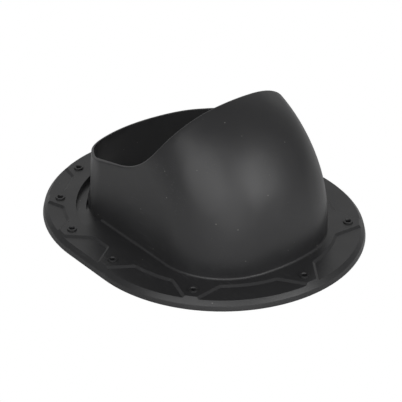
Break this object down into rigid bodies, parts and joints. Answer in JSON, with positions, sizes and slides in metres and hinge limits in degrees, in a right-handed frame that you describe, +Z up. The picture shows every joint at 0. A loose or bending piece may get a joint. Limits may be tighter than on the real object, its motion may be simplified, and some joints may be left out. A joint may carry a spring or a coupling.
{
  "type": "pipe flashing boot",
  "caption": "Moulded roof and facade boot: an open hood with an S-shaped rim rises from an oval screw-down flange to cover a pipe where it comes through.",
  "frame": {"origin": "middle of the flange's oval outline, on its base plane", "axes": "+X towards the tall closed end of the hood, -X to its low front, +Z up off the roof"},
  "size_m": [0.4199, 0.35, 0.1923],
  "materials": {
    "black_plastic": "semi-gloss black polypropylene, moulded"
  },
  "bodies": {
    "root": {"flashing_boot": "black_plastic"}
  },
  "joints": []
}
